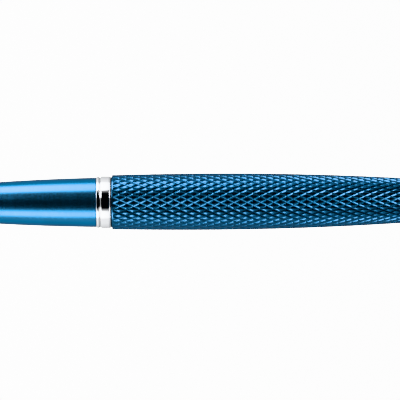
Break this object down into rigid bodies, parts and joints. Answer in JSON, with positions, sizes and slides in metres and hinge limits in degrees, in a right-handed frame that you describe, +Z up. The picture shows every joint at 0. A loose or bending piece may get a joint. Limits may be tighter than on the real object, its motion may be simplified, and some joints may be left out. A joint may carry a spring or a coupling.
{
  "type": "rollerball pen",
  "caption": "Round rollerball pen with a smooth tapered metal grip, a chrome band and a cigar-shaped diamond-cut barrel, its clipped cap drawn off ahead of the tip.",
  "frame": {"origin": "bottom centre of the bounding box of the pen with its cap drawn off: on the surface that the pen lies on, under the pen's axis, half way along the whole length", "axes": "+X along the pen's axis, from the tip towards the barrel's end; +Z up; +Y completes a right-handed frame"},
  "size_m": [0.2034, 0.0126, 0.0125],
  "materials": {
    "satin_blue": "satin blue anodised, very finely turned",
    "cut_blue": "bright blue anodised over a diamond-cut surface",
    "chrome": "polished chrome plate",
    "brass": "turned brass",
    "spring_steel": "drawn wire",
    "tip_metal": "turned nickel silver",
    "carbide": "polished tungsten carbide",
    "black_rubber": "matt black",
    "black_plastic": "moulded, semi-matt",
    "grey_plastic": "extruded, glossy",
    "white_plastic": "moulded, glossy",
    "ink_fibre": "ink-soaked fibre"
  },
  "bodies": {
    "section": {"grip_section": "satin_blue", "nose_collar": "chrome", "threaded_coupling": "brass", "bead_ring": "chrome", "centre_band": "chrome"},
    "washer": {"seal_washer": "black_rubber"},
    "spring_seat": {"spring_cup": "black_plastic", "refill_spring": "spring_steel"},
    "barrel": {"barrel_sleeve": "cut_blue", "thread_bush": "brass", "barrel_liner": "brass", "end_plug": "chrome"},
    "refill": {"refill_tube": "grey_plastic", "ink_reservoir": "ink_fibre", "ink_feed": "ink_fibre", "refill_nose": "black_plastic", "refill_tip": "tip_metal", "refill_plug": "black_plastic"},
    "ball": {"writing_ball": "carbide"},
    "cap": {"cap_shell": "satin_blue", "cap_lip_ring": "chrome", "clutch_ring": "black_plastic", "inner_cap": "white_plastic", "clip_ring": "chrome", "cap_finial": "chrome", "finial_screw": "brass"},
    "clip": {"clip": "chrome"}
  },
  "joints": [
    {"name": "cap_slide", "type": "slide", "parent": "section", "child": "cap", "axis": [1, 0, 0], "range_m": [0, 0.0538]},
    {"name": "clip_flex", "type": "hinge", "parent": "cap", "child": "clip", "pos_m": [-0.09689, -0.00348, 0.00253], "axis": [0, 0.7303, -0.6831], "range_deg": [0, 6], "stiffness_Nm_per_rad": 1, "springref_deg": -2.86},
    {"name": "barrel_screw_travel", "type": "slide", "parent": "section", "child": "washer", "axis": [1, 0, 0], "range_m": [0, 0.0061]},
    {"name": "barrel_pull_off", "type": "slide", "parent": "washer", "child": "spring_seat", "axis": [1, 0, 0], "range_m": [0, 0.07]},
    {"name": "barrel_unscrew", "type": "hinge", "parent": "spring_seat", "child": "barrel", "pos_m": [0.01812, 0, 0.00625], "axis": [1, 0, 0], "range_deg": [0, 2160]},
    {"name": "refill_push", "type": "slide", "parent": "section", "child": "refill", "axis": [1, 0, 0], "range_m": [0, 0.002], "stiffness_N_per_m": 300, "springref_m": -0.003, "deforming": ["refill_spring"]},
    {"name": "ball_roll", "type": "hinge", "parent": "refill", "child": "ball", "pos_m": [-0.03087, 0, 0.00625], "axis": [0, 1, 0], "continuous": true}
  ],
  "couplings": [
    {"joint": "barrel_screw_travel", "follows": "barrel_unscrew", "m_per_rad": 0.00015915}
  ]
}
